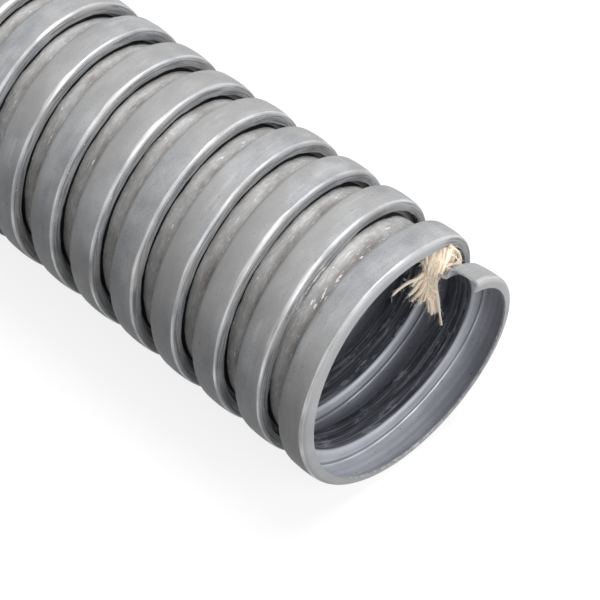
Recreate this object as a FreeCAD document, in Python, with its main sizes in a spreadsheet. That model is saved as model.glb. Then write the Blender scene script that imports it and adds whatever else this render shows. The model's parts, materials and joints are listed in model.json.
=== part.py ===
import FreeCAD, Part
import math
import os
import Sketcher
from FreeCAD import Placement, Rotation, Vector
Vector2d = FreeCAD.Base.Vector2d

# Flexible metal conduit, strip-wound: one galvanised steel strip is rolled to an S-shaped section
# and wound into a right-handed helix, so that each turn's folded edge locks over the next.
# A cotton packing yarn is wound into the lock. Units are millimetres.
# The conduit lies on the floor along X with its mouth at +X, and the origin is on the floor
# below the middle of its length.

doc = FreeCAD.newDocument("flexible_conduit")

# Driving dimensions
sizes = doc.addObject("Spreadsheet::Sheet", "sizes")
DRIVING = (
    ("overall_length", 305.0, "cut length of the conduit"),
    ("outer_diameter", 60.0, "over the crests"),
    ("wall_depth", 4.5, "from the outside of the crests to the inside of the troughs"),
    ("winding_pitch", 12.5, "advance in one turn"),
    ("strip_thickness", 0.5, "galvanised steel strip"),
    ("crest_width", 7.6, "flat outer band of one turn"),
    ("lock_width", 1.6, "room along the conduit between the two folded edges"),
    ("turned_edge_gap", 1.5, "below the edge turned down at the front of a crest"),
    ("raised_edge_gap", 0.5, "above the edge raised at the back of a trough"),
    ("packing_clearance", 0.15, "between the packing yarn and the walls of the lock"),
    ("mouth_end_angle", 56.0, "degrees that the strip's cut end lies above the level of the axis"),
)
for row, (alias, value, meaning) in enumerate(DRIVING, start=1):
    sizes.set("A%d" % row, alias)
    sizes.set("B%d" % row, str(value))
    sizes.set("C%d" % row, meaning)
    sizes.setAlias("B%d" % row, alias)
doc.recompute()

# The strip's section is drawn with x along the conduit, from the hidden edge to the mouth side,
# and y outwards from the conduit's axis. Everything below is tied to the driving dimensions.
THICK = "sizes.strip_thickness"
CREST_TOP = "sizes.outer_diameter / 2"
CREST_UNDER = CREST_TOP + " - " + THICK
BORE_WALL = CREST_TOP + " - sizes.wall_depth"
TROUGH_TOP = BORE_WALL + " + " + THICK
LOCK_FRONT = THICK + " + sizes.lock_width"
WEB_BACK = LOCK_FRONT + " + " + THICK + " + sizes.winding_pitch - sizes.crest_width"
WEB_FRONT = WEB_BACK + " + " + THICK
CREST_FRONT = WEB_BACK + " + sizes.crest_width"
LIP_INSIDE = CREST_FRONT + " - " + THICK
RAISED_LIP_TOP = CREST_UNDER + " - sizes.raised_edge_gap"
TURNED_LIP_FOOT = TROUGH_TOP + " + sizes.turned_edge_gap"


def stepped_section(name, levels, stations):
    """A closed sketch whose sides are in turn level and upright.

    Side 2k lies at levels[k] and ends at stations[k]. Side 2k + 1 stands there.
    """
    sketch = doc.addObject("Sketcher::SketchObject", name)
    steps = len(levels)
    for step in range(steps):
        # rough places only: the constraints below set the real ones
        x_from, x_to, y = step, step + 1, 10.0 + step
        sketch.addGeometry(Part.LineSegment(Vector(x_from, y, 0), Vector(x_to, y, 0)))
        sketch.addGeometry(Part.LineSegment(Vector(x_to, y, 0), Vector(x_to, y + 1, 0)))
    for side in range(2 * steps):
        following = (side + 1) % (2 * steps)
        sketch.addConstraint(Sketcher.Constraint("Coincident", side, 2, following, 1))
        direction = "Vertical" if side % 2 else "Horizontal"
        sketch.addConstraint(Sketcher.Constraint(direction, side))
    for step in range(steps):
        for kind, tied_side, formula in (
            ("DistanceY", 2 * step, levels[step]),
            ("DistanceX", 2 * step + 1, stations[step]),
        ):
            mark = Sketcher.Constraint(kind, -1, 1, tied_side, 1, 1.0)
            index = sketch.addConstraint(mark)
            sketch.setExpression("Constraints[%d]" % index, formula)
    return sketch


def corners_of(sketch):
    """The section's corners as (along the axis, out from the axis)."""
    return [(side.StartPoint.x, side.StartPoint.y) for side in sketch.Geometry]


def wound_solid(section, pitch, first_turn, last_turn):
    """A solid of one section wound about Z, its ends cut in planes through the axis.

    Level sides sweep out bands of true cylinders, upright sides sweep out helicoids. Each face
    covers half a turn at most.
    """
    half_turn = math.pi
    start, end = 2 * math.pi * first_turn, 2 * math.pi * last_turn
    cuts = [start]
    while cuts[-1] < end - 1e-6:
        next_half = half_turn * (math.floor(cuts[-1] / half_turn + 1e-6) + 1)
        cuts.append(min(next_half, end))

    cylinders = {}
    for _, radius in section:
        cylinders[radius] = Part.Cylinder()
        cylinders[radius].Radius = radius

    def rise(angle):
        return pitch * angle / (2 * math.pi)

    faces = []
    for low, high in zip(cuts, cuts[1:]):
        whole_turns = 2 * math.pi * math.floor(low / (2 * math.pi) + 1e-6)

        def on_cylinder(along_low, along_high, radius, angle_low, angle_high):
            line = Part.Geom2d.Line2dSegment(
                Vector2d(angle_low - whole_turns, along_low + rise(angle_low)),
                Vector2d(angle_high - whole_turns, along_high + rise(angle_high)),
            )
            return line.toShape(cylinders[radius])

        for (along, radius), (next_along, next_radius) in zip(section, section[1:] + section[:1]):
            if math.isclose(radius, next_radius):
                left, right = sorted((along, next_along))
                outline = Part.Wire(
                    [
                        on_cylinder(left, left, radius, low, high),
                        on_cylinder(left, right, radius, high, high),
                        on_cylinder(right, right, radius, high, low),
                        on_cylinder(right, left, radius, low, low),
                    ]
                )
                faces.append(Part.Face(cylinders[radius], outline))
            else:
                faces.append(
                    Part.makeRuledSurface(
                        on_cylinder(along, along, radius, low, high),
                        on_cylinder(next_along, next_along, next_radius, low, high),
                    )
                )

    for angle in (start, end):
        outward = Vector(math.cos(angle), math.sin(angle), 0)
        rim = [outward * radius + Vector(0, 0, along + rise(angle)) for along, radius in section]
        faces.append(Part.Face(Part.makePolygon(rim + rim[:1])))

    shell = Part.Shell([face for made in faces for face in made.Faces])
    shell.sewShape()
    solid = Part.Solid(shell)
    if solid.Volume < 0:
        solid.reverse()
    return solid


# Section of the strip: trough, web, crest, edge turned down at the front of the crest,
# and edge raised at the back of the trough, where the last turn's crest hides it
strip_section = stepped_section(
    "strip_section",
    levels=(BORE_WALL, CREST_UNDER, TURNED_LIP_FOOT, CREST_TOP, TROUGH_TOP, RAISED_LIP_TOP),
    stations=(WEB_FRONT, LIP_INSIDE, CREST_FRONT, WEB_BACK, THICK, "0"),
)

# Section of the packing: cotton yarn pressed to the shape of the lock between the two edges
packing_section = stepped_section(
    "packing_section",
    levels=(
        TROUGH_TOP + " + sizes.packing_clearance",
        CREST_UNDER + " - sizes.packing_clearance",
    ),
    stations=(
        LOCK_FRONT + " - sizes.packing_clearance",
        THICK + " + sizes.packing_clearance",
    ),
)
doc.recompute()

# The last turn of the strip stops where its crest reaches the mouth, in a plain square cut
strip_corners = corners_of(strip_section)
packing_corners = corners_of(packing_section)
section_width = max(along for along, _ in strip_corners)
turns = (sizes.overall_length - section_width) / sizes.winding_pitch

# Winding stands along Z. Laying it down turns Z to X, and rolling it about X
# brings the strip's end at the mouth to its place.
lay_down = Rotation(Vector(0, 1, 0), 90)
roll = Rotation(Vector(1, 0, 0), sizes.mouth_end_angle + 90 - 360 * turns)
lying = Placement(
    Vector(-sizes.overall_length / 2, 0, sizes.outer_diameter / 2),
    roll * lay_down,
)


def wound_piece(label, corners, first_turn):
    piece = doc.addObject("Part::Feature", label)
    piece.Label = label
    piece.Shape = wound_solid(corners, sizes.winding_pitch, first_turn, turns)
    piece.Placement = lying
    return piece


# The packing begins where the first crest comes over the next turn's trough
pieces = [
    wound_piece("wound_steel_strip", strip_corners, first_turn=0),
    wound_piece("packing_yarn", packing_corners, first_turn=1),
]
doc.recompute()

for item in doc.Objects:
    if "Invalid" in item.State or "Error" in item.State:
        raise RuntimeError("%s could not be made: %s" % (item.Name, item.State))
for sketch in (strip_section, packing_section):
    if sketch.solve() != 0:
        raise RuntimeError("%s has constraints that don't agree" % sketch.Name)

os.makedirs("parts", exist_ok=True)
for piece in pieces:
    shape = piece.Shape
    if shape.isNull() or not shape.isValid() or len(shape.Solids) != 1:
        raise RuntimeError("%s is not one valid solid" % piece.Label)
    shape.exportStep("parts/%s.step" % piece.Label)
    print("%s: %.0f cubic mm, %d faces" % (piece.Label, shape.Volume, len(shape.Faces)))
print("turns: %.3f" % turns)
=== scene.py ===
# %% [markdown]
# # Strip-wound steel conduit with a frayed packing yarn
#
# The real object is one long steel strip. Rollers fold it to an S-shaped section, a winder turns it
# into a helix, and the fold of each turn locks over the next. A cotton yarn lies in the lock. The
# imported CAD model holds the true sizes, so it is loaded first and everything is built around it.

import json
import math

import bpy
import numpy as np
from mathutils import Matrix, Vector


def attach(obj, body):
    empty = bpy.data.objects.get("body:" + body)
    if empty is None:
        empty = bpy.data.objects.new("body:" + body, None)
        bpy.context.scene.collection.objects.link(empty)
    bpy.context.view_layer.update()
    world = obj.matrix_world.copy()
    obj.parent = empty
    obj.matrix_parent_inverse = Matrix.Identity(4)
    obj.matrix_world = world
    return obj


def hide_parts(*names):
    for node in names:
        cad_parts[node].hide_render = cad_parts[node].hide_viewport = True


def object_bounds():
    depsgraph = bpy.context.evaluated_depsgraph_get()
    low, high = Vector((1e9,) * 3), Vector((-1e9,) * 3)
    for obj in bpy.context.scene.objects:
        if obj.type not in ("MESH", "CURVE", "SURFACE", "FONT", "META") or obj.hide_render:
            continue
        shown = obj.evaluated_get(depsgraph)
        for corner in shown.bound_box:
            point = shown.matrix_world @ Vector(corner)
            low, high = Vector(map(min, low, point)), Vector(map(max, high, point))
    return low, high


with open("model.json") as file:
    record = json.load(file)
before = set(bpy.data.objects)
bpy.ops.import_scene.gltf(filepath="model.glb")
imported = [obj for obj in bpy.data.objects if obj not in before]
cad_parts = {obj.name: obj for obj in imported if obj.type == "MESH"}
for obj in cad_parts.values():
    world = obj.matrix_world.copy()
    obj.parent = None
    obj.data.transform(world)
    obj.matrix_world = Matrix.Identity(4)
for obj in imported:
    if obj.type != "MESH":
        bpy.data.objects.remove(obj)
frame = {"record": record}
cad_low, cad_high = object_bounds()
mounts = {mount["name"]: mount for mount in frame["record"]["mounts"]}
print("CAD box in mm:", [round(1000 * side, 2) for side in cad_high - cad_low])

# %% [markdown]
# ## The sizes that everything hangs from
#
# Sizes are in millimetres here, because sheet metal is thought of in millimetres, and turn to
# metres when a mesh is made. The outside and the bore are read from the frame. The folds are the
# real strip's: a trough that makes the bore, an upright web, and a crest with its edge turned down.

# %% Name the sizes of the strip
MILLIMETRE = 0.001
outer_radius = (cad_high.z - cad_low.z) / 2 / MILLIMETRE
bore_radius = mounts["cable_bore"]["dims"]["r_mm"]
mouth_x = cad_high.x / MILLIMETRE
far_x = cad_low.x / MILLIMETRE
axis_height = (cad_low.z + cad_high.z) / 2 / MILLIMETRE

pitch = 12.5
strip_thickness = 0.5
crest_width = 7.6
lock_width = 1.6
turned_edge_gap = 1.5
raised_edge_gap = 0.5
mouth_end_angle = 56.0

web_back = lock_width + 2 * strip_thickness + pitch - crest_width
section_width = web_back + crest_width
turns = (mouth_x - far_x - section_width) / pitch
print("outside %.1f, bore %.1f, turns %.3f" % (2 * outer_radius, 2 * bore_radius, turns))

# %% [markdown]
# ## Folding the section
#
# Folded sheet has no sharp corners: the metal runs round each bend on a small arc. The section
# could be drawn by hand point by point, but it is easier to keep true if it starts from the
# corners of the sheet's middle line. Each corner is rounded, and both faces are set off from the
# middle by half the thickness. A count of folds is kept for every point, so that a finish can
# later be told "the third bend" or "the middle of the crest" whatever the sizes are.

# %% Round the corners of the sheet's middle line
def left_of(way):
    return np.array([-way[1], way[0]])


def turned(arrow, angle):
    c, s = math.cos(angle), math.sin(angle)
    return np.array([c * arrow[0] - s * arrow[1], s * arrow[0] + c * arrow[1]])


def folded_line(corners, bend_radii, bend_steps, points_between):
    """Places, sideways directions and fold counts along the middle of a folded sheet."""
    corners = np.array(corners, float)
    runs = np.diff(corners, axis=0)
    lengths = np.linalg.norm(runs, axis=1)
    ways = runs / lengths[:, None]
    places, sideways, folds = [corners[0]], [left_of(ways[0])], [0.0]
    for bend in range(1, len(corners)):
        before = ways[bend - 1]
        last_bend = bend == len(corners) - 1
        after = before if last_bend else ways[bend]
        turn = math.atan2(before[0] * after[1] - before[1] * after[0], before @ after)
        radius = 0.0 if last_bend else bend_radii[bend - 1]
        trim = radius * math.tan(abs(turn) / 2)
        start = corners[bend] - before * trim
        fold_in = bend - trim / lengths[bend - 1]
        extra = points_between.get(bend - 1, 0)
        for step in range(1, extra + 1):
            share = step / (extra + 1)
            places.append(places[-step] * (1 - share) + start * share)
            sideways.append(left_of(before))
            folds.append(folds[-step] * (1 - share) + fold_in * share)
        if last_bend:
            places.append(corners[bend])
            sideways.append(left_of(before))
            folds.append(float(bend))
            continue
        centre = start + left_of(before) * math.copysign(radius, turn)
        fold_out = bend + trim / lengths[bend]
        for step in range(bend_steps[bend - 1] + 1):
            share = step / bend_steps[bend - 1]
            places.append(centre + turned(start - centre, turn * share))
            sideways.append(turned(left_of(before), turn * share))
            folds.append(fold_in * (1 - share) + fold_out * share)
    return np.array(places), np.array(sideways), np.array(folds)


half_sheet = strip_thickness / 2
crown = 0.14
crest_line = outer_radius - half_sheet - crown
trough_line = bore_radius + half_sheet
raised_lip_top = outer_radius - strip_thickness - raised_edge_gap
turned_lip_foot = bore_radius + strip_thickness + turned_edge_gap
CREST_RUN = 3
# on the count of folds, the crest runs from 3 to 4
crest_centre, crown_reach = 3.5, 0.36

middle, sideways, folds = folded_line(
    corners=(
        (half_sheet, raised_lip_top),
        (half_sheet, trough_line),
        (web_back + half_sheet, trough_line),
        (web_back + half_sheet, crest_line),
        (section_width - half_sheet, crest_line),
        (section_width - half_sheet, turned_lip_foot),
    ),
    bend_radii=(0.5, 1.0, 0.9, 0.95),
    bend_steps=(2, 4, 4, 4),
    points_between={CREST_RUN: 3},
)
on_crest = (folds > 3) & (folds < 4)
off_centre = np.clip(np.abs(folds[on_crest] - crest_centre) / crown_reach, 0, 1)
middle[on_crest, 1] += crown * (1 - off_centre**2)
print("points on each face of the section:", len(middle))

# %% [markdown]
# ## Winding the section
#
# A Screw modifier could sweep the section, but it gives every turn the same number of steps and
# leaves no hold on single places. Rings of points made with numpy can be closer together near the
# mouth, where the eye goes, and each ring can be bent a little by itself. Beside the mouth the
# real strip is not regular, and the rings follow it:
#
# - the cut end has sprung into the bore over more than a quarter turn,
# - the crest that lay over that end has lost its support, and leans forward and inward,
# - the lip of the last turn has nothing to hold it, and has opened a little,
# - the lip over the last valley has been knocked down on to the trough.

# %% Choose the angles of the rings
end_angle = mouth_end_angle
start_angle = mouth_end_angle - 360 * turns
mouth_zone, near_zone = 2.2 * 360, 10.0 * 360
rings_mouth, rings_near, rings_far = 2.0, 3.5, 6.0


def spaced(low, high, step):
    return np.linspace(low, high, max(2, int(round((high - low) / step)) + 1))


angles = np.concatenate(
    [
        spaced(start_angle, end_angle - near_zone, rings_far)[:-1],
        spaced(end_angle - near_zone, end_angle - mouth_zone, rings_near)[:-1],
        spaced(end_angle - mouth_zone, end_angle, rings_mouth),
    ]
)
print("rings:", len(angles))


# %% Make smooth seeded unevenness along the strip
def uneven(angles, spacing, seed):
    """A smooth random curve from -1 to 1 along the winding, alike at each run."""
    knots = np.arange(angles.min() - spacing, angles.max() + 2 * spacing, spacing)
    heights = np.random.default_rng(seed).uniform(-1, 1, len(knots))
    return np.interp(angles, knots, heights)


# %% Spring the cut end inward
sprung_span, sprung_power = 105.0, 1.7
loose_centre, loose_spread = 350, 40


def sprung_inward(fold, degrees_to_end):
    """How far the cut end has sprung into the bore, most at the web's top."""
    deepest = np.interp(fold, (0, 2, 2.9, 3.2, 4, 5), (4.0, 4.0, 5.0, 5.0, 4.5, 4.1))
    return deepest * np.clip(1 - degrees_to_end / sprung_span, 0, 1) ** sprung_power


def beside_the_end(degrees_to_end):
    """From 0 to 1 where the crest lies over the cut end, which has sprung away beneath it."""
    return np.exp(-(((degrees_to_end - loose_centre) / loose_spread) ** 2))


# %% Press the lip on to the last valley
# in degrees before the strip's end: where the press ends, is full from and to, and begins
press_marks = (600, 622, 680, 692)
press_depth = 1.2


def pressed_down(degrees_to_end):
    """From 0 to 1 where the lip over the last valley has been knocked on to the trough."""
    return np.interp(degrees_to_end, press_marks, (0, 1, 1, 0))


# %% Wind the rings
def wound(along, out, angle):
    """Metres in the row frame, for a place on the section that has turned to an angle."""
    turn = np.radians(angle)
    x = mouth_x - section_width + along + pitch * (angle - end_angle) / 360
    return MILLIMETRE * np.stack(
        [x, out * np.cos(turn), axis_height + out * np.sin(turn)], axis=-1
    )


loose_drop, loose_forward = 0.5, 1.4
sway_height, sway_spacing = 0.09, 70
opening, opening_span = 0.7, 340


def one_face(side):
    """All the rings of one face of the strip, side +1 outward and -1 to the bore."""
    flat = middle + side * half_sheet * sideways
    along = np.repeat(flat[None, :, 0], len(angles), axis=0)
    out = np.repeat(flat[None, :, 1], len(angles), axis=0)
    to_end = (end_angle - angles)[:, None]
    on_lip = np.clip(folds - 4, 0, 1)[None, :]
    out = out - sprung_inward(folds[None, :], to_end)
    loose = beside_the_end(to_end)
    out = out - loose_drop * np.interp(folds, (2, 3, 5), (0, 1, 1))[None, :] * loose
    along = along + loose_forward * np.interp(folds, (1.2, 3, 5), (0, 1, 1))[None, :] * loose
    # the crests dip here and there, and the sheared edge is a little torn
    crest_sway = sway_height * uneven(angles, sway_spacing, seed=3) - 0.05
    out = out + np.where(folds > 2.5, 1, 0)[None, :] * np.minimum(crest_sway, 0)[:, None]
    torn = 0.16 * uneven(angles, 4.1, seed=5) + 0.12 * uneven(angles, 23, seed=6)
    torn = np.where(angles > end_angle - 360, 0.10 * torn - 0.27, torn)
    out[:, -1] += torn
    out = out - press_depth * pressed_down(to_end) * on_lip
    along = along + opening * np.sin(np.pi * np.clip(to_end / opening_span, 0, 1)) * on_lip
    return along, out


faces_made = [one_face(+1), one_face(-1)]
along = np.concatenate([faces_made[0][0], faces_made[1][0][:, ::-1]], axis=1)
out = np.concatenate([faces_made[0][1], faces_made[1][1][:, ::-1]], axis=1)
burr_height = 0.03
burr = np.random.default_rng(11).normal(0, burr_height, out[-1].shape)
out[-1] += np.clip(burr, -2 * burr_height, 2 * burr_height)
ring_places = wound(along, out, angles[:, None])
ring_folds = np.concatenate([folds, folds[::-1]])
ring_side = np.concatenate([np.ones(len(folds)), np.zeros(len(folds))])
print("points in a ring:", ring_places.shape[1])

# %% [markdown]
# ## Closing the rings to one mesh
#
# Neighbouring rings are joined by four-sided faces, and the two ends are closed by the thin cut
# of the sheet. The sheared edges get a material of their own, because a fresh cut is bright steel
# and the faces are dull zinc. Four things are kept on every point for the finishes: where it is
# along the strip, where it is across it, which face it is on, and its count of folds. Streaks can
# then run with the strip, all the way round, as the rollers left them.

# %% Join the rings
ring_count, ring_size = ring_places.shape[:2]
half_ring = ring_size // 2


def ring_faces():
    around = np.arange(ring_size)
    following = (around + 1) % ring_size
    first = np.arange(ring_count - 1)[:, None] * ring_size
    beyond = first + ring_size
    quads = np.stack(
        [first + around, first + following, beyond + following, beyond + around], axis=-1
    ).reshape(-1, 4)
    is_edge = np.tile((around == half_ring - 1) | (around == ring_size - 1), ring_count - 1)
    return quads, is_edge


def end_faces(ring, flip):
    step = np.arange(half_ring - 1)
    quads = ring * ring_size + np.stack(
        [step, step + 1, ring_size - 2 - step, ring_size - 1 - step], axis=-1
    )
    return quads[:, ::-1] if flip else quads


quads, is_edge = ring_faces()
caps = np.concatenate([end_faces(0, True), end_faces(ring_count - 1, False)])
all_faces = np.concatenate([quads, caps])
sheared = np.concatenate([is_edge, np.ones(len(caps), bool)])


# %% Turn points and faces into an object
def mesh_object(name, places, faces):
    mesh = bpy.data.meshes.new(name)
    mesh.from_pydata(places.tolist(), [], faces.tolist())
    mesh.validate()
    piece = bpy.data.objects.new(name, mesh)
    bpy.context.scene.collection.objects.link(piece)
    mesh.polygons.foreach_set("use_smooth", np.ones(len(mesh.polygons), bool))
    return piece


def facing_outward(places, faces):
    """Turns all faces over if the closed surface has its inside out."""
    a, b, c, d = (places[faces[:, k]] for k in range(4))
    volume = np.einsum("ij,ij->i", a, np.cross(b, c) + np.cross(c, d)).sum() / 6
    return faces if volume > 0 else faces[:, ::-1]


places = ring_places.reshape(-1, 3)
all_faces = facing_outward(places, all_faces)
steel_strip = mesh_object("strip_wound_conduit", places, all_faces)
crease_angle = 50
steel_strip.data.set_sharp_from_angle(angle=math.radians(crease_angle))
steel_strip.data.polygons.foreach_set("material_index", sheared.astype(np.int32))
print("triangles in the strip:", 2 * len(all_faces))

# %% Keep the place on the strip for the finishes
run_along = np.repeat(np.radians(angles) * outer_radius * MILLIMETRE, ring_size)
steps_across = np.linalg.norm(np.diff(middle, axis=0), axis=1)
across = MILLIMETRE * np.concatenate([[0], np.cumsum(steps_across)])
across = np.tile(np.concatenate([across, across[::-1]]), ring_count)
side = np.tile(ring_side, ring_count)
strip_place = np.stack([run_along, across, side], axis=-1).astype(np.float32)
steel_strip.data.attributes.new("strip_place", "FLOAT_VECTOR", "POINT").data.foreach_set(
    "vector", strip_place.ravel()
)
fold_here = np.tile(ring_folds, ring_count).astype(np.float32)
steel_strip.data.attributes.new("fold", "FLOAT", "POINT").data.foreach_set("value", fold_here)
print("strip unrolled, in m:", round(float(run_along.max() - run_along.min()), 2))

# %% [markdown]
# ## The packing cord in the lock
#
# The yarn that seals the lock is squeezed up under the crest, behind the turned-down edge, and
# shows only as a dark line in the gap. It is a twisted cord of three plies with a flattened
# section. The lobes of the plies turn with the run, which is cheaper than three separate strands
# and looks the same in a gap one millimetre high. Where the crest above it sinks, it sinks too.

# %% Wind the packing cord
cord_sides = 12
cord_along = strip_thickness + lock_width / 2
cord_out = outer_radius - strip_thickness - 1.25
cord_half_width, cord_half_height = 0.6, 1.0
cord_plies, ply_turns, lobe_depth = 3, 26.0, 0.16
cord_drop = 0.6
cord_angles = spaced(start_angle + 360, end_angle + 4, 6.0)
around = np.linspace(0, 2 * math.pi, cord_sides, endpoint=False)
ply_twist = cord_plies * around + np.radians(cord_angles)[:, None] * ply_turns
lobe = 1 - lobe_depth * (0.5 + 0.5 * np.cos(ply_twist))
over_cord = beside_the_end(end_angle - cord_angles + 360)[:, None]
cord_places = wound(
    cord_along + cord_half_width * np.cos(around) * lobe,
    cord_out - cord_drop * over_cord + cord_half_height * np.sin(around) * lobe,
    cord_angles[:, None],
)
first = np.arange(len(cord_angles) - 1)[:, None] * cord_sides
here, following = np.arange(cord_sides), (np.arange(cord_sides) + 1) % cord_sides
beyond = first + cord_sides
cord_faces = np.stack(
    [first + here, first + following, beyond + following, beyond + here], axis=-1
).reshape(-1, 4)
cord_points = cord_places.reshape(-1, 3)
packing_cord = mesh_object("packing_cord", cord_points, facing_outward(cord_points, cord_faces))
print("triangles in the cord:", 2 * len(cord_faces))

# %% [markdown]
# ## The frayed end of the yarn
#
# Where the strip's end has sprung away, the lock is open and the yarn hangs out: it comes from
# under the crest, passes over the cut edge of the strip and drops into the bore. It could be grown
# with a hair system, but a few dozen plies keep its shape from every side. Each bundle
# is a route of a few points, which a NURBS spline turns to a smooth line, and each is split into
# several thin plies that stray from the route by amounts that are set at its root, halfway and at
# its cut end.

# %% Place the bundles of the frayed end
# the points run from the root, under the crest, to the cut end, in millimetres in the CAD frame
hanging_left = (
    (139.1, 12.4, 53.9), (139.5, 12.0, 51.0), (139.9, 11.6, 48.7), (140.6, 11.6, 45.0),
    (140.6, 10.8, 41.0), (140.6, 9.8, 38.6),
)
hanging_middle = (
    (139.5, 14.4, 53.2), (140.2, 13.2, 51.0), (140.8, 12.0, 48.9), (141.2, 11.8, 45.0),
    (141.2, 12.0, 39.0), (141.1, 12.7, 33.2),
)
hanging_right = (
    (140.1, 16.6, 51.6), (141.2, 15.0, 49.9), (142.0, 12.5, 49.0), (141.9, 11.9, 45.0),
    (141.8, 12.6, 39.0), (141.6, 14.0, 32.4),
)
long_strand = (
    (140.8, 18.2, 49.6), (142.2, 16.2, 49.0), (143.1, 12.8, 49.0), (142.6, 12.2, 45.0),
    (142.7, 13.2, 38.0), (142.9, 14.8, 28.2),
)
curl = (
    (140.4, 17.0, 51.0), (141.3, 19.8, 48.3), (142.2, 20.2, 45.6), (142.9, 18.7, 45.3),
    (142.9, 16.4, 47.3), (143.0, 13.8, 48.6), (142.4, 12.0, 46.6),
)
side_long = (
    (140.4, 12.0, 47.2), (139.9, 10.8, 46.2), (139.4, 8.6, 46.6), (139.2, 5.4, 46.9),
    (139.0, 2.0, 46.6),
)
side_upper = ((140.3, 11.8, 47.6), (139.8, 10.4, 46.2), (139.4, 8.9, 45.2), (139.3, 7.8, 44.4))
side_middle = ((140.5, 11.8, 46.6), (140.1, 10.4, 45.2), (139.8, 8.8, 43.8), (139.4, 7.0, 42.6))
side_lower = ((140.6, 11.6, 45.2), (140.2, 10.6, 43.0), (139.8, 9.6, 41.2), (139.4, 8.5, 39.9))

# route, number of plies, their half thickness, and how far they stray at the root, halfway and
# at the cut end
BUNDLES = (
    (hanging_left, 9, 0.42, 0.85, 0.60, 0.6),
    (hanging_middle, 10, 0.42, 0.85, 0.60, 0.65),
    (hanging_right, 9, 0.42, 0.85, 0.60, 0.55),
    (long_strand, 2, 0.40, 0.35, 0.2, 0.12),
    (curl, 4, 0.28, 0.55, 0.45, 0.4),
    (side_long, 1, 0.42, 0.2, 0.15, 0.1),
    (side_upper, 1, 0.46, 0.2, 0.15, 0.1),
    (side_middle, 1, 0.54, 0.2, 0.15, 0.1),
    (side_lower, 1, 0.54, 0.2, 0.15, 0.1),
)
print("bundles in the frayed end:", len(BUNDLES))


# %% Lay a strand as a tapering NURBS spline
def lay_strand(curve, points, radii):
    """Adds one strand to the curve. Points and radii are in millimetres."""
    spline = curve.splines.new("NURBS")
    spline.points.add(len(points) - 1)
    for knot, point, radius in zip(spline.points, points, radii):
        knot.co = (*(MILLIMETRE * value for value in point), 1.0)
        knot.radius = radius
    spline.order_u = 3
    spline.use_endpoint_u = True


def empty_curve(name, detail):
    curve = bpy.data.curves.new(name, "CURVE")
    curve.dimensions = "3D"
    curve.resolution_u = detail
    curve.bevel_depth = MILLIMETRE
    curve.bevel_resolution = 1
    curve.use_fill_caps = True
    return curve


# %% Split the bundles into plies and loose fibres
chance = np.random.default_rng(29)
FIBRES_A_PLY, FIBRES_A_TANGLE, TANGLES = 20, 10, 150
fibre_radii = (0.035, 0.03, 0.02)
ply_wobble = 0.26
yarn_curve = empty_curve("yarn_plies", 5)
fibre_curve = empty_curve("yarn_fibres", 3)
fibre_curve.bevel_resolution = 0

for route, plies, thick, stray_root, stray_half, stray_end in BUNDLES:
    route = np.array(route)
    share = np.linspace(0, 1, len(route))
    stray = np.interp(share, (0, 0.5, 1), (stray_root, stray_half, stray_end))
    for ply in range(plies):
        offset = chance.normal(0, 1, 3)
        offset /= max(np.linalg.norm(offset), 1e-6)
        offset *= chance.uniform(0.25, 1)
        wobble = chance.normal(0, ply_wobble, route.shape)
        reach = 1 - (0.5 if plies > 2 else 0.1) * chance.uniform(0, 1)
        points = route + stray[:, None] * offset + wobble
        points[-1] = points[-2] + (points[-1] - points[-2]) * reach
        radius = thick * chance.uniform(0.75, 1.1)
        radii = radius * np.interp(share, (0, 0.75, 1), (1, 1, 0.6))
        lay_strand(yarn_curve, points, radii)
        for fibre in range(FIBRES_A_PLY):
            at = chance.uniform(0.15, 1.0) * (len(points) - 1)
            base = int(min(at, len(points) - 2))
            start = points[base] + (points[base + 1] - points[base]) * (at - base)
            way = points[base + 1] - points[base]
            way = way / max(np.linalg.norm(way), 1e-6)
            lean = chance.normal(0, 1, 3)
            lean /= np.linalg.norm(lean)
            length = chance.uniform(0.7, 2.3)
            middle_of = start + length * 0.5 * (0.8 * way + 0.6 * lean)
            tip = start + length * (0.55 * way + 0.75 * lean) + chance.normal(0, 0.2, 3)
            lay_strand(fibre_curve, (start, middle_of, tip), fibre_radii)

# %% Tangle short ends into the fray
# they fill the body of the fray, down its middle and out to its right shoulder
body_line = (
    (140.0, 13.2, 50.6), (140.6, 13.4, 49.4), (141.0, 12.2, 47.5), (141.0, 11.7, 44.0),
    (141.0, 11.9, 40.0),
)
shoulder_line = (
    (140.6, 17.2, 49.4), (141.4, 17.8, 48.2), (141.9, 16.4, 47.5), (141.8, 14.0, 48.2),
)
for tangled in range(TANGLES):
    line = np.array(body_line if tangled % 3 else shoulder_line)
    at = chance.uniform(0, 1) ** 1.3 * (len(line) - 1)
    base = int(min(at, len(line) - 2))
    centre = line[base] + (line[base + 1] - line[base]) * (at - base)
    centre = centre + chance.normal(0, 1, 3) * (0.8, 0.6, 0.45)
    way = chance.normal(0, 1, 3) * (1.0, 1.0, 1.5)
    way /= np.linalg.norm(way)
    bow = chance.normal(0, 0.45, 3)
    length = chance.uniform(1.0, 2.1)
    points = [centre - way * length / 2, centre + bow, centre + way * length / 2]
    thick = chance.uniform(0.16, 0.32)
    lay_strand(yarn_curve, points, (thick * 0.7, thick, thick * 0.6))
    for fibre in range(FIBRES_A_TANGLE):
        start = points[0] + (points[2] - points[0]) * chance.uniform(0, 1) + bow * 0.5
        lean = chance.normal(0, 1, 3)
        lean /= np.linalg.norm(lean)
        reach = chance.uniform(0.7, 1.8)
        bend = start + lean * reach * 0.5 + chance.normal(0, 0.2, 3)
        lay_strand(fibre_curve, (start, bend, start + lean * reach), fibre_radii)
print("strands:", len(yarn_curve.splines), "fibres:", len(fibre_curve.splines))


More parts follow.
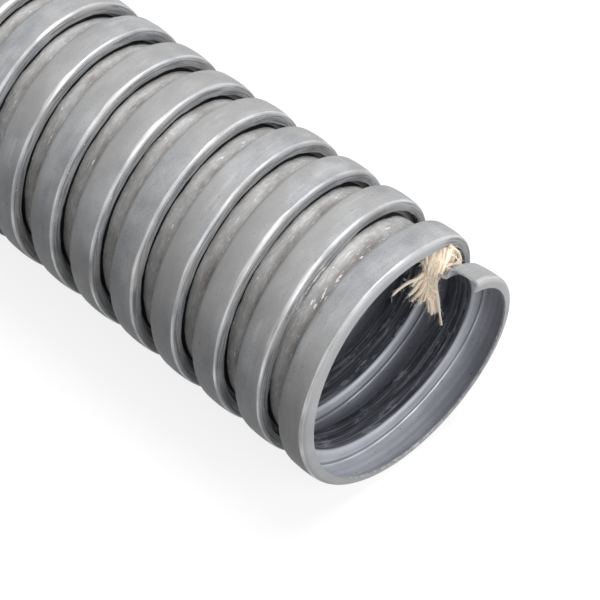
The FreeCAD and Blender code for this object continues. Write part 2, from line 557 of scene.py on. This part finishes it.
# %% Turn the strands into one mesh
def curve_to_mesh(curve, name):
    holder = bpy.data.objects.new(name, curve)
    bpy.context.scene.collection.objects.link(holder)
    bpy.context.view_layer.update()
    depsgraph = bpy.context.evaluated_depsgraph_get()
    mesh = bpy.data.meshes.new_from_object(holder.evaluated_get(depsgraph))
    bpy.data.objects.remove(holder)
    mesh.name = name
    piece = bpy.data.objects.new(name, mesh)
    bpy.context.scene.collection.objects.link(piece)
    mesh.polygons.foreach_set("use_smooth", np.ones(len(mesh.polygons), bool))
    return piece


frayed_yarn = curve_to_mesh(yarn_curve, "frayed_yarn_end")
loose_fibres = curve_to_mesh(fibre_curve, "loose_fibres")
for piece in (frayed_yarn, loose_fibres):
    print(piece.name, "faces:", len(piece.data.polygons))

# %% [markdown]
# ## Shader maths that reads as Python
#
# A finish is a network of small nodes, and wiring each by hand hides the idea. Here one small class
# wraps a socket and gives it the signs of arithmetic, so that `1 - worn * 0.3` adds its Math nodes.
# Every other node comes from one method: its type, its settings, then what goes into its sockets.

# %% Wrap a socket so that it can be added and multiplied
class Wired:
    """A node's output, with the signs of arithmetic."""

    def __init__(self, tree, socket):
        self.tree = tree
        self.socket = socket

    def maths(self, operation, *values, clamp=False):
        node = self.tree.nodes.new("ShaderNodeMath")
        node.operation = operation
        node.use_clamp = clamp
        for place, value in zip(node.inputs, values):
            if isinstance(value, Wired):
                self.tree.links.new(value.socket, place)
            else:
                place.default_value = value
        return Wired(self.tree, node.outputs[0])

    def __add__(self, other):
        return self.maths("ADD", self, other)

    def __radd__(self, other):
        return self.maths("ADD", other, self)

    def __sub__(self, other):
        return self.maths("SUBTRACT", self, other)

    def __rsub__(self, other):
        return self.maths("SUBTRACT", other, self)

    def __mul__(self, other):
        return self.maths("MULTIPLY", self, other)

    def __rmul__(self, other):
        return self.maths("MULTIPLY", other, self)

    def clamped(self):
        return self.maths("ADD", self, 0.0, clamp=True)


# %% Give a material one method for all its other nodes
class Finish:
    """A material being built, with its Principled shader."""

    def __init__(self, name):
        self.material = bpy.data.materials.new(name)
        self.material.use_nodes = True
        self.tree = self.material.node_tree
        self.shader = self.tree.nodes["Principled BSDF"]

    def join(self, place, value):
        if isinstance(value, Wired):
            self.tree.links.new(value.socket, place)
        else:
            place.default_value = value

    def node(self, kind, settings, sockets, output=0):
        """Any node: its type, its settings, then what its sockets hold."""
        made = self.tree.nodes.new(kind)
        for setting, value in settings.items():
            if setting == "stops":
                ramp = made.color_ramp
                while len(ramp.elements) < len(value):
                    ramp.elements.new(0.5)
                for stop, (position, colour) in zip(ramp.elements, value):
                    stop.position = position
                    stop.color = colour if len(colour) == 4 else (*colour, 1)
            else:
                setattr(made, setting, value)
        for place, value in sockets.items():
            self.join(made.inputs[place], value)
        return Wired(self.tree, made.outputs[output])

    def shade(self, **sockets):
        for place, value in sockets.items():
            self.join(self.shader.inputs[place.replace("_", " ")], value)

    # the four that the finishes here share
    def stretched(self, vector, scale):
        return self.node("ShaderNodeVectorMath", {"operation": "MULTIPLY"}, {0: vector, 1: scale})

    def noise(self, vector, detail=3.0, roughness=0.55):
        return self.node(
            "ShaderNodeTexNoise",
            {"noise_dimensions": "3D"},
            {"Vector": vector, "Scale": 1.0, "Detail": detail, "Roughness": roughness},
        )

    def step(self, value, low, high):
        """0 below low, 1 above high, and smooth between."""
        return self.node(
            "ShaderNodeMapRange",
            {"interpolation_type": "SMOOTHSTEP"},
            {"Value": value, "From Min": low, "From Max": high, "To Min": 0.0, "To Max": 1.0},
        )

    def blend(self, factor, under, over):
        return self.node(
            "ShaderNodeMix", {"data_type": "RGBA"}, {0: factor, 6: under, 7: over}, output=2
        )


# %% [markdown]
# ## The zinc finish
#
# Galvanised strip is zinc over steel. New zinc is bright, but this strip has been through oily
# rollers: its outer crest is a matte, slightly blue grey, the valley between crests is browner and
# scratched, and the trough that faces the bore is nearly black with torn lighter flakes. The bends
# are rubbed brighter, and their lighter colour also stands in as painted highlight along them. The
# lighter roller streaks on the crests stand in part as painted sheen. One finish with masks is
# truer than several with hard borders, because on the real strip each of these runs into the next.

# %% Masks that follow the folds
zinc = Finish("galvanised_strip")
strip_at = zinc.node("ShaderNodeAttribute", {"attribute_name": "strip_place"}, {}, output="Vector")
fold = zinc.node("ShaderNodeAttribute", {"attribute_name": "fold"}, {}, output="Fac")
split = zinc.node("ShaderNodeSeparateXYZ", {}, {0: strip_at}, output="Z")
outward = zinc.step(split, 0.45, 0.55)
bore_side = 1 - outward
trough_band = zinc.step(fold, 0.9, 1.02) * (1 - zinc.step(fold, 1.93, 2.03))
crest_band = zinc.step(fold, 3.0, 3.12) * (1 - zinc.step(fold, 3.88, 4.0))
lip_band = zinc.step(fold, 4.05, 4.25)
along_strip = zinc.node("ShaderNodeSeparateXYZ", {}, {0: strip_at}, output="X")
rim_start = math.radians(end_angle - 360) * outer_radius * MILLIMETRE
rim = zinc.step(along_strip, rim_start - 0.004, rim_start + 0.004)
lip_dirt = lip_band * (1 - rim * 0.85)

# %% Patterns that run with the strip
# each noise has its cells in a metre: along the strip, across it, and from face to face
streak = zinc.noise(zinc.stretched(strip_at, (90.0, 2600.0, 70.0)), detail=4.0)
long_streak = zinc.noise(zinc.stretched(strip_at, (22.0, 1100.0, 50.0)), detail=3.0)
cloud = zinc.noise(zinc.stretched(strip_at, (110.0, 160.0, 90.0)), detail=4.0)
broad_at = zinc.stretched(strip_at, (48.0, 120.0, 37.0))
broad_cloud = zinc.noise(broad_at, detail=4.0, roughness=0.65)
grain = zinc.noise(zinc.stretched(strip_at, (3200.0, 4200.0, 60.0)), detail=2.0)
flake_at = zinc.stretched(strip_at, (130.0, 760.0, 60.0))
flake_base = zinc.noise(flake_at, detail=6.0, roughness=0.7)
speck_at = zinc.stretched(strip_at, (1500.0, 1900.0, 60.0))
speck_base = zinc.noise(speck_at, detail=2.0, roughness=0.7)
flakes = zinc.step(flake_base, 0.56, 0.61) * (1 - zinc.step(flake_base, 0.62, 0.67) * 0.8)
scratch_at = zinc.stretched(strip_at, (420.0, 2300.0, 60.0))
scratch_base = zinc.noise(scratch_at, detail=5.0, roughness=0.75)
scratches = zinc.step(scratch_base, 0.57, 0.66)
bright_specks = zinc.step(speck_base, 0.67, 0.74)
dark_at = zinc.stretched(strip_at, (900.0, 1300.0, 40.0))
dark_specks = 1 - zinc.step(zinc.noise(dark_at, detail=3.0, roughness=0.6), 0.30, 0.36)
print("patterns along the strip are ready")

# %% Colour of the outer faces
crest_grey = zinc.node(
    "ShaderNodeValToRGB",
    {
        "stops": [
            (0.43, (0.29, 0.30, 0.312)),
            (0.50, (0.37, 0.378, 0.39)),
            (0.57, (0.45, 0.46, 0.47)),
        ]
    },
    {0: cloud * 0.34 + streak * 0.08 + broad_cloud * 0.30 + grain * 0.28},
)
tint = zinc.noise(zinc.stretched(strip_at, (31.0, 95.0, 29.0)), detail=2.0)
crest_grey = zinc.blend(zinc.step(tint, 0.47, 0.56) * 0.55, crest_grey, (0.375, 0.36, 0.35, 1))
crest_middle = zinc.step(fold, 3.12, 3.35) * (1 - zinc.step(fold, 3.70, 3.88))
# lighter streaks left by the rollers along the crest's middle, which also stand in as painted sheen
# where the crest catches the light
roller_streaks_and_sheen = crest_middle * zinc.step(long_streak, 0.50, 0.66) * zinc.step(cloud, 0.50, 0.60)
crest_grey = zinc.blend(roller_streaks_and_sheen * 0.30, crest_grey, (0.60, 0.61, 0.615, 1))
crest_grey = zinc.blend(crest_band * dark_specks * 0.6, crest_grey, (0.20, 0.205, 0.21, 1))

# %% Colour of the outer valleys, light under the lip and brown towards the web
valley_light = zinc.node(
    "ShaderNodeValToRGB",
    {
        "stops": [
            (0.42, (0.36, 0.355, 0.35)),
            (0.50, (0.48, 0.475, 0.47)),
            (0.58, (0.66, 0.66, 0.665)),
        ]
    },
    {0: cloud * 0.3 + scratch_base * 0.3 + broad_cloud * 0.4},
)
valley_brown = zinc.node(
    "ShaderNodeValToRGB",
    {
        "stops": [
            (0.42, (0.17, 0.155, 0.145)),
            (0.50, (0.28, 0.262, 0.25)),
            (0.58, (0.42, 0.41, 0.40)),
        ]
    },
    {0: cloud * 0.4 + scratch_base * 0.2 + broad_cloud * 0.4},
)
toward_web = zinc.step(fold + (broad_cloud - 0.5) * 1.6, 1.42, 1.85)
valley_grey = zinc.blend(toward_web, valley_light, valley_brown)
outside_colour = zinc.blend(trough_band, crest_grey, valley_grey)
outside_colour = zinc.blend(trough_band * scratches * 0.7, outside_colour, (0.74, 0.74, 0.75, 1))
valley_specks = trough_band * bright_specks * 0.8
outside_colour = zinc.blend(valley_specks, outside_colour, (0.85, 0.85, 0.86, 1))


# %% Masks for the knocked-down lip, in degrees before the strip's end
def along_at(degrees_to_end):
    return math.radians(end_angle - degrees_to_end) * outer_radius * MILLIMETRE


def between_marks(marks):
    """A mask along the strip that is 1 between the middle two of four places."""
    ends, full_to, full_from, begins = (along_at(mark) for mark in marks)
    return zinc.step(along_strip, begins, full_from) * (1 - zinc.step(along_strip, full_to, ends))


pressed_valley = between_marks([mark - 360 for mark in press_marks])
knocked_valley = between_marks((280, 290, 306, 316))
knocked_lip = between_marks((640, 650, 666, 676)) * zinc.step(fold, 4.3, 4.5)

# %% Painted glints, painted shade in the gap under the lip, and the dirt on the lip
glint_base = zinc.noise(zinc.stretched(strip_at, (230.0, 900.0, 40.0)), detail=3.0, roughness=0.6)
# painted highlight: small near-white glints in the valleys and on the knocked-down lip
painted_glints = trough_band * zinc.step(glint_base + 0.10 * knocked_valley, 0.665, 0.70)
painted_glints = (painted_glints + knocked_lip * zinc.step(scratch_base, 0.50, 0.56)).clamped()
outside_colour = zinc.blend(painted_glints, outside_colour, (0.95, 0.95, 0.96, 1))
# painted shade: the trough under the lip's foot is painted near black, except where the lip is
# pressed down
painted_gap_shade = 1 - zinc.step(fold + (streak - 0.5) * 0.10 + (cloud - 0.5) * 0.12, 1.245, 1.262)
painted_gap_shade = painted_gap_shade * trough_band * (1 - pressed_valley)
outside_colour = zinc.blend(painted_gap_shade, outside_colour, (0.03, 0.03, 0.034, 1))
lip_streaks = lip_dirt * zinc.step(streak, 0.47, 0.58) * 0.85
outside_colour = zinc.blend(lip_streaks, outside_colour, (0.16, 0.165, 0.175, 1))
outside_colour = zinc.blend(lip_dirt * bright_specks, outside_colour, (0.85, 0.86, 0.87, 1))
outside_colour = zinc.blend(lip_band * rim * 0.45, outside_colour, (0.66, 0.67, 0.68, 1))

# %% Colour of the faces to the bore
bore_grey = zinc.node(
    "ShaderNodeValToRGB",
    {"stops": [(0.42, (0.42, 0.437, 0.485)), (0.58, (0.55, 0.568, 0.62))]},
    {0: cloud * 0.5 + long_streak * 0.5},
)
bore_dark = zinc.node(
    "ShaderNodeValToRGB",
    {
        "stops": [
            (0.38, (0.03, 0.032, 0.042)),
            (0.50, (0.085, 0.09, 0.11)),
            (0.62, (0.24, 0.25, 0.28)),
        ]
    },
    {0: streak * 0.5 + long_streak * 0.5},
)
inside_colour = zinc.blend(trough_band, bore_grey, bore_dark)
torn_patch = zinc.step(broad_cloud, 0.50, 0.58)
torn_flakes = trough_band * flakes * (0.45 + 0.45 * torn_patch)
inside_colour = zinc.blend(torn_flakes, inside_colour, (0.40, 0.42, 0.46, 1))
fine_torn = zinc.step(scratch_base, 0.54, 0.62) * torn_patch
inside_colour = zinc.blend(trough_band * fine_torn * 0.5, inside_colour, (0.34, 0.36, 0.40, 1))
inside_colour = zinc.blend(crest_band * dark_specks * 0.7, inside_colour, (0.14, 0.145, 0.16, 1))
torn_edge = zinc.step(fold, 0.86, 0.93) * (1 - zinc.step(fold, 1.0, 1.05))
inside_colour = zinc.blend(torn_edge * 0.8, inside_colour, (0.42, 0.43, 0.46, 1))

# %% Rub the bends bright, and paint highlights along them
# painted shade: a dark line in the bore just below the web's top, in the corner where the web meets
# the crest's underside
painted_corner_shade = zinc.step(fold, 2.62, 2.78) * (1 - zinc.step(fold, 2.86, 2.91))
inside_colour = zinc.blend(painted_corner_shade * 0.6, inside_colour, (0.12, 0.125, 0.14, 1))
# painted highlight along the crest's front shoulder, wider where the tint is high, on top of the
# rubbed metal
shoulder_from = 3.91 - 0.10 * zinc.step(tint, 0.50, 0.62)
front_shoulder = zinc.step(fold - shoulder_from, 0.0, 0.06) * (1 - zinc.step(fold, 4.05, 4.22))
web_foot_bend = zinc.step(fold, 1.90, 1.97) * (1 - zinc.step(fold, 2.10, 2.30))
web_top_line = zinc.step(fold, 2.90, 2.94) * (1 - zinc.step(fold, 2.98, 3.02))
patchy_wear_and_highlight = (0.5 + 2.2 * (streak - 0.5) + 1.2 * (cloud - 0.5)).clamped()
shoulder_wear_and_highlight = outward * front_shoulder * patchy_wear_and_highlight
bend_wear_and_highlight = bore_side * (web_foot_bend * 0.24 + web_top_line * patchy_wear_and_highlight * 1.3)
wear_and_highlight = (shoulder_wear_and_highlight + bend_wear_and_highlight).clamped()
zinc_colour = zinc.blend(outward, inside_colour, outside_colour)
# the bends are lightened in colour: partly rubbed bright metal, partly painted highlight
zinc_colour = zinc.blend(wear_and_highlight * 0.75, zinc_colour, (0.78, 0.79, 0.81, 1))

# %% Roughness, metal and relief of the zinc
glossy_valley = outward * trough_band * (1 - toward_web)
zinc_roughness = 0.44 + 0.18 * cloud + 0.10 * streak - 0.06 * glossy_valley - 0.20 * wear_and_highlight
zinc_metal = 0.07 + 0.15 * glossy_valley + 0.70 * wear_and_highlight
relief = grain * 0.5 + streak * 0.3 + (flake_base + scratch_base) * trough_band * 0.5 + cloud * 0.5
zinc_bump = zinc.node(
    "ShaderNodeBump", {}, {"Strength": 0.5, "Distance": 0.00016, "Height": relief}, output="Normal"
)
zinc.shade(
    Base_Color=zinc_colour,
    Metallic=zinc_metal,
    Roughness=zinc_roughness,
    Specular_IOR_Level=0.25,
    Normal=zinc_bump,
)
steel_strip.data.materials.append(zinc.material)
print("nodes in the zinc finish:", len(zinc.tree.nodes))

# %% [markdown]
# ## The sheared edge
#
# Slitting leaves the strip's edges as bare steel, brighter than the zinc and a little torn. It
# could carry its own small relief mesh, but it is a thin line, so a light metal with a coarse
# noise over it is enough.

# %% Finish of the sheared edge
shear = Finish("sheared_steel_edge")
edge_at = shear.node("ShaderNodeTexCoord", {}, {}, output="Object")
tear = shear.noise(shear.stretched(edge_at, (900.0, 900.0, 900.0)), detail=4.0, roughness=0.65)
shear_colour = shear.node(
    "ShaderNodeValToRGB",
    {"stops": [(0.40, (0.52, 0.52, 0.53)), (0.60, (0.80, 0.81, 0.82))]},
    {0: tear},
)
shear_bump = shear.node(
    "ShaderNodeBump", {}, {"Strength": 0.25, "Distance": 0.0001, "Height": tear}, output="Normal"
)
shear.shade(Base_Color=shear_colour, Metallic=0.45, Roughness=0.3 + 0.3 * tear, Normal=shear_bump)
steel_strip.data.materials.append(shear.material)

# %% [markdown]
# ## The cotton finish
#
# Undyed cotton is cream with tan threads in it. It has no gloss at all, and light goes a little
# way into it. A subsurface shader could carry that light, but on strands as thin as these it only
# adds noise, so a very rough shader with sheen and a faint glow, which is painted light, is used.
# In the lock the same yarn is painted dark, as painted shade for the deep gap it lies in.

# %% Finish of the frayed cotton
cotton = Finish("undyed_cotton")
cotton_at = cotton.node("ShaderNodeTexCoord", {}, {}, output="Object")
thread = cotton.noise(cotton.stretched(cotton_at, (1500.0, 1500.0, 420.0)), detail=4.0)
patch = cotton.noise(cotton.stretched(cotton_at, (260.0, 260.0, 180.0)), detail=3.0)
cotton_colour = cotton.node(
    "ShaderNodeValToRGB",
    {
        "stops": [
            (0.36, (0.90, 0.74, 0.56)),
            (0.47, (0.97, 0.86, 0.72)),
            (0.60, (0.98, 0.92, 0.82)),
        ]
    },
    {0: thread * 0.55 + patch * 0.45},
)
cotton_bump = cotton.node(
    "ShaderNodeBump", {}, {"Strength": 0.35, "Distance": 0.0001, "Height": thread}, output="Normal"
)
cotton.shade(Base_Color=cotton_colour, Roughness=0.95, Sheen_Weight=1.0, Sheen_Roughness=0.6)
cotton.shade(Sheen_Tint=(1.0, 0.88, 0.74, 1), Normal=cotton_bump)
# a faint glow, which is painted light, stands in for light that soaks through the fluff and lifts
# its shadows
cotton.shade(Emission_Color=(0.95, 0.80, 0.64, 1), Emission_Strength=0.08)
for piece in (frayed_yarn, loose_fibres):
    piece.data.materials.clear()
    piece.data.materials.append(cotton.material)
print("nodes in the cotton finish:", len(cotton.tree.nodes))

# %% Finish of the packing cord, painted dark as shade in the lock
cord_finish_in_shade = Finish("oiled_cotton")
cord_at = cord_finish_in_shade.node("ShaderNodeTexCoord", {}, {}, output="Object")
cord_mottle = cord_finish_in_shade.noise(cord_finish_in_shade.stretched(cord_at, (700.0, 700.0, 700.0)), detail=4.0)
# painted shade: the cord is near black, standing for the shade in the deep gap over it
cord_shade_colour = cord_finish_in_shade.node(
    "ShaderNodeValToRGB",
    {"stops": [(0.35, (0.05, 0.045, 0.04)), (0.65, (0.20, 0.17, 0.13))]},
    {0: cord_mottle},
)
cord_bump = cord_finish_in_shade.node(
    "ShaderNodeBump", {}, {"Strength": 0.5, "Distance": 0.0001, "Height": cord_mottle}, output="Normal"
)
cord_finish_in_shade.shade(Base_Color=cord_shade_colour, Roughness=0.8, Normal=cord_bump)
packing_cord.data.materials.append(cord_finish_in_shade.material)

# %% [markdown]
# ## Joining the pieces to the CAD frame
#
# The wound strip stands for its CAD solid, and the cord in the lock for the packing. The frayed
# end is its free tail. The turns slide a little in the lock when the real conduit bends, but no
# piece moves by a joint, so all of it rides on the one body.

# %% Ride on the frame
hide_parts("wound_steel_strip")
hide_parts("packing_yarn")
for piece in (steel_strip, packing_cord, frayed_yarn, loose_fibres):
    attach(piece, "root")
    print(piece.name, "rides on root")

# %% [markdown]
# ## Floor, light and camera
#
# The conduit lies on a plain pale floor under soft light from above, so that its top is light and
# its lower side falls to a darker grey. A white floor could be lit until it clips, but that would
# light the metal from below as well. Instead the floor is dark to the lamps and glows white to the
# camera, to reflections and to what is seen through glass, and still keeps the shadow.

# %% Lay the floor
floor_mesh = bpy.data.meshes.new("floor")
floor_reach, floor_tone, floor_glow = 4.0, 0.20, 0.84
floor_corners = [(-1, -1), (1, -1), (1, 1), (-1, 1)]
floor_mesh.from_pydata(
    [(floor_reach * x, floor_reach * y, 0) for x, y in floor_corners], [], [(0, 1, 2, 3)]
)
floor = bpy.data.objects.new("floor", floor_mesh)
bpy.context.scene.collection.objects.link(floor)
pale = Finish("pale_floor")
seen = pale.node("ShaderNodeLightPath", {}, {}, output="Is Camera Ray")
seen = seen + pale.node("ShaderNodeLightPath", {}, {}, output="Is Glossy Ray")
seen = seen + pale.node("ShaderNodeLightPath", {}, {}, output="Is Transmission Ray")
pale.shade(Base_Color=(floor_tone, floor_tone, floor_tone, 1), Roughness=0.9)
pale.shade(Emission_Color=seen * floor_glow, Emission_Strength=1.0)
floor.data.materials.append(pale.material)

# %% Light the world
world = bpy.data.worlds.new("studio")
bpy.context.scene.world = world
world.use_nodes = True
sky = world.node_tree.nodes["Background"]
paths = world.node_tree.nodes.new("ShaderNodeLightPath")
looking = Wired(world.node_tree, paths.outputs["Is Camera Ray"])
looking = looking + Wired(world.node_tree, paths.outputs["Is Glossy Ray"])
looking = looking + Wired(world.node_tree, paths.outputs["Is Transmission Ray"])
sky.inputs["Strength"].default_value = 1.0
room_light = 0.13
seen_sky = room_light + (1 - room_light) * looking.clamped()
world.node_tree.links.new(seen_sky.socket, sky.inputs["Color"])


# %% Hang the soft lamps
def soft_lamp(name, place, target, size, power):
    lamp = bpy.data.lights.new(name, "AREA")
    lamp.shape = "SQUARE"
    lamp.size = size
    lamp.energy = power
    holder = bpy.data.objects.new(name, lamp)
    holder.location = place
    holder.rotation_euler = (Vector(target) - Vector(place)).to_track_quat("-Z", "Y").to_euler()
    bpy.context.scene.collection.objects.link(holder)
    return holder


soft_lamp("overhead", (0.05, 0.45, 1.28), (0.05, 0, 0), 0.9, 16.0)
soft_lamp("before_the_mouth", (1.30, -0.06, 0.86), (0.1, 0, 0.03), 0.9, 12.5)

# %% [markdown]
# ## The camera
#
# A camera is a place, a way of looking and a lens. It could be aimed with a Track To constraint,
# but a picture's camera is known by its numbers, so the three axes are worked out from the way of
# looking and set as one matrix. The focal length is first given in pixels of the square image.

# %% Set the camera
image_side = 600
focal_pixels = 2351.2
camera_place = Vector((0.33804, -0.23569, 0.41945))
view_way = Vector((-0.4379, 0.4630, -0.7706)).normalized()
right_way = view_way.cross(Vector((0, 0, 1))).normalized()
up_way = right_way.cross(view_way)
camera_data = bpy.data.cameras.new("camera")
sensor_width = 36.0
camera_data.sensor_width = sensor_width
camera_data.lens = sensor_width * focal_pixels / image_side
print("lens in mm:", round(camera_data.lens, 1))
camera_data.clip_start, camera_data.clip_end = 0.01, 20.0
camera = bpy.data.objects.new("camera", camera_data)
turn_to_view = Matrix((right_way, up_way, -view_way)).transposed()
camera.matrix_world = Matrix.Translation(camera_place) @ turn_to_view.to_4x4()
bpy.context.scene.collection.objects.link(camera)
bpy.context.scene.camera = camera
bpy.context.scene.view_settings.view_transform = "Standard"
